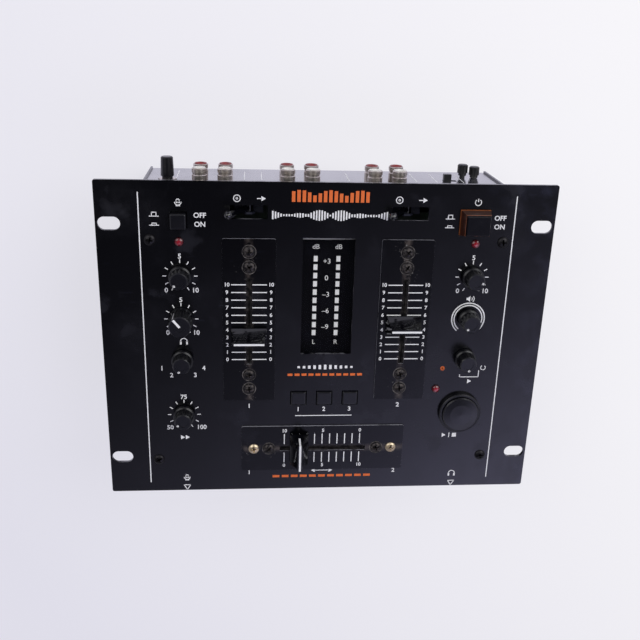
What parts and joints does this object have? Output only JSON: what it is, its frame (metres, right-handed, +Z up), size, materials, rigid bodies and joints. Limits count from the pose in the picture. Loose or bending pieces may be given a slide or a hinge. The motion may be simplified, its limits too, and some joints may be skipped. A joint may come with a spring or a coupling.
{
  "type": "dj mixer",
  "caption": "DJ mixer: a flat black control panel with rack slots carries slide faders, knobs, push buttons, toggles and a level meter over a folded metal case with rear phono sockets.",
  "frame": {"origin": "centre of the four rack slots, on the panel's top face", "axes": "+X to the user's right, +Y to the rear connectors, +Z up out of the panel"},
  "size_m": [0.254, 0.1989, 0.0892],
  "materials": {
    "panel_paint": "satin black paint",
    "case_paint": "satin black paint",
    "plate_paint": "satin black paint",
    "black_screw": "blackened steel",
    "brass_screw": "worn brass plating",
    "zinc_steel": "zinc plated",
    "nickel": "nickel plated",
    "black_plastic": "matte moulded",
    "knob_black": "satin moulded",
    "cap_black": "glossy moulded",
    "power_red": "translucent moulded",
    "smoked_window": "smoked clear sheet",
    "meter_white": "diffusing lens",
    "light_red": "red diffusing lens",
    "phono_red": "moulded",
    "phono_white": "moulded",
    "board_green": "coated laminate",
    "foot_rubber": "matte",
    "black_metal": "blackened"
  },
  "bodies": {
    "chassis": {"front_panel": "panel_paint", "case_tray": "case_paint", "side_panels": "case_paint", "rubber_feet": "foot_rubber", "black_screws": "black_screw", "crossfader_screws": "brass_screw", "channel_plates": "plate_paint", "crossfader_plate": "plate_paint", "fader_tracks": "zinc_steel", "potentiometer_bodies": "black_plastic", "switch_bodies": "black_plastic", "meter_window": "smoked_window", "meter_led_holder": "black_plastic", "meter_led_segments": "meter_white", "status_leds": "light_red", "control_board": "board_green", "main_board": "board_green", "board_standoffs": "zinc_steel", "phono_blocks": "black_plastic", "phono_shells": "nickel", "phono_inserts_red": "phono_red", "phono_inserts_white": "phono_white", "power_inlet": "black_plastic", "phone_sockets": "black_plastic", "socket_nuts": "nickel", "start_button_bezel": "black_plastic"},
    "channel_1_fader": {"channel_1_cap": "cap_black", "channel_1_lever": "zinc_steel"},
    "channel_2_fader": {"channel_2_cap": "cap_black", "channel_2_lever": "zinc_steel"},
    "crossfader_fader": {"crossfader_cap": "cap_black", "crossfader_lever": "zinc_steel"},
    "mic_level": {"mic_level_knob": "knob_black", "mic_level_shaft": "zinc_steel"},
    "cue_level": {"cue_level_knob": "knob_black", "cue_level_shaft": "zinc_steel"},
    "cue_assign": {"cue_assign_knob": "knob_black", "cue_assign_shaft": "zinc_steel"},
    "sampling_speed": {"sampling_speed_knob": "knob_black", "sampling_speed_shaft": "zinc_steel"},
    "master_level": {"master_level_knob": "knob_black", "master_level_shaft": "zinc_steel"},
    "sampler_level": {"sampler_level_knob": "knob_black", "sampler_level_shaft": "zinc_steel"},
    "mode": {"mode_knob": "knob_black", "mode_shaft": "zinc_steel"},
    "talkover_button": {"talkover_button": "knob_black"},
    "power_button": {"power_button": "power_red", "power_button_cap": "knob_black"},
    "assign_1_button": {"assign_1_button": "knob_black"},
    "assign_2_button": {"assign_2_button": "knob_black"},
    "assign_3_button": {"assign_3_button": "knob_black"},
    "start_button": {"start_button": "knob_black"},
    "toggle_1": {"toggle_1_lever": "black_plastic"},
    "toggle_2": {"toggle_2_lever": "black_plastic"},
    "trim": {"trim_knob": "black_plastic"},
    "ground_1": {"ground_screw_1": "black_metal"},
    "ground_2": {"ground_screw_2": "black_metal"},
    "rear_switch": {"rear_switch_lever": "black_plastic"}
  },
  "joints": [
    {"name": "channel_1_slide", "type": "slide", "parent": "chassis", "child": "channel_1_fader", "axis": [0, 1, 0], "range_m": [-0.014, 0.031]},
    {"name": "channel_2_slide", "type": "slide", "parent": "chassis", "child": "channel_2_fader", "axis": [0, 1, 0], "range_m": [-0.0213, 0.0237]},
    {"name": "crossfader_slide", "type": "slide", "parent": "chassis", "child": "crossfader_fader", "axis": [1, 0, 0], "range_m": [-0.0081, 0.0369]},
    {"name": "mic_level_turn", "type": "hinge", "parent": "chassis", "child": "mic_level", "pos_m": [-0.0825, 0.042, 0], "axis": [0, 0, 1], "range_deg": [-285, 15]},
    {"name": "cue_level_turn", "type": "hinge", "parent": "chassis", "child": "cue_level", "pos_m": [-0.0825, 0.0166, 0], "axis": [0, 0, 1], "range_deg": [-189, 111]},
    {"name": "cue_assign_turn", "type": "hinge", "parent": "chassis", "child": "cue_assign", "pos_m": [-0.0825, -0.0083, 0], "axis": [0, 0, 1], "range_deg": [-42, 88]},
    {"name": "sampling_speed_turn", "type": "hinge", "parent": "chassis", "child": "sampling_speed", "pos_m": [-0.0825, -0.0436, 0], "axis": [0, 0, 1], "range_deg": [-275, 25]},
    {"name": "master_level_turn", "type": "hinge", "parent": "chassis", "child": "master_level", "pos_m": [0.0825, 0.042, 0], "axis": [0, 0, 1], "range_deg": [-50, 250]},
    {"name": "sampler_level_turn", "type": "hinge", "parent": "chassis", "child": "sampler_level", "pos_m": [0.0825, 0.0166, 0], "axis": [0, 0, 1], "range_deg": [-290, 10]},
    {"name": "mode_turn", "type": "hinge", "parent": "chassis", "child": "mode", "pos_m": [0.0825, -0.0083, 0], "axis": [0, 0, 1], "range_deg": [-50, 30]},
    {"name": "talkover_button_press", "type": "slide", "parent": "chassis", "child": "talkover_button", "axis": [0, 0, -1], "range_m": [0, 0.003], "stiffness_N_per_m": 300, "springref_m": -0.001},
    {"name": "power_button_press", "type": "slide", "parent": "chassis", "child": "power_button", "axis": [0, 0, -1], "range_m": [0, 0.004], "stiffness_N_per_m": 300, "springref_m": -0.001},
    {"name": "assign_1_button_press", "type": "slide", "parent": "chassis", "child": "assign_1_button", "axis": [0, 0, -1], "range_m": [0, 0.0025], "stiffness_N_per_m": 300, "springref_m": -0.001},
    {"name": "assign_2_button_press", "type": "slide", "parent": "chassis", "child": "assign_2_button", "axis": [0, 0, -1], "range_m": [0, 0.0025], "stiffness_N_per_m": 300, "springref_m": -0.001},
    {"name": "assign_3_button_press", "type": "slide", "parent": "chassis", "child": "assign_3_button", "axis": [0, 0, -1], "range_m": [0, 0.0025], "stiffness_N_per_m": 300, "springref_m": -0.001},
    {"name": "start_button_press", "type": "slide", "parent": "chassis", "child": "start_button", "axis": [0, 0, -1], "range_m": [0, 0.002], "stiffness_N_per_m": 300, "springref_m": -0.001},
    {"name": "toggle_1_tilt", "type": "hinge", "parent": "chassis", "child": "toggle_1", "pos_m": [-0.0445, 0.0784, -0.012], "axis": [0, 1, 0], "range_deg": [0, 60]},
    {"name": "toggle_2_tilt", "type": "hinge", "parent": "chassis", "child": "toggle_2", "pos_m": [0.0445, 0.0784, -0.012], "axis": [0, 1, 0], "range_deg": [0, 60]},
    {"name": "trim_turn", "type": "hinge", "parent": "chassis", "child": "trim", "pos_m": [-0.09, 0.08805, -0.026], "axis": [0, 1, 0], "range_deg": [-150, 150]},
    {"name": "ground_1_turn", "type": "hinge", "parent": "chassis", "child": "ground_1", "pos_m": [0.0844, 0.08805, -0.05], "axis": [0, 1, 0], "continuous": true},
    {"name": "ground_2_turn", "type": "hinge", "parent": "chassis", "child": "ground_2", "pos_m": [0.0916, 0.08805, -0.05], "axis": [0, 1, 0], "continuous": true},
    {"name": "rear_switch_slide", "type": "slide", "parent": "chassis", "child": "rear_switch", "axis": [1, 0, 0], "range_m": [0, 0.003]}
  ]
}
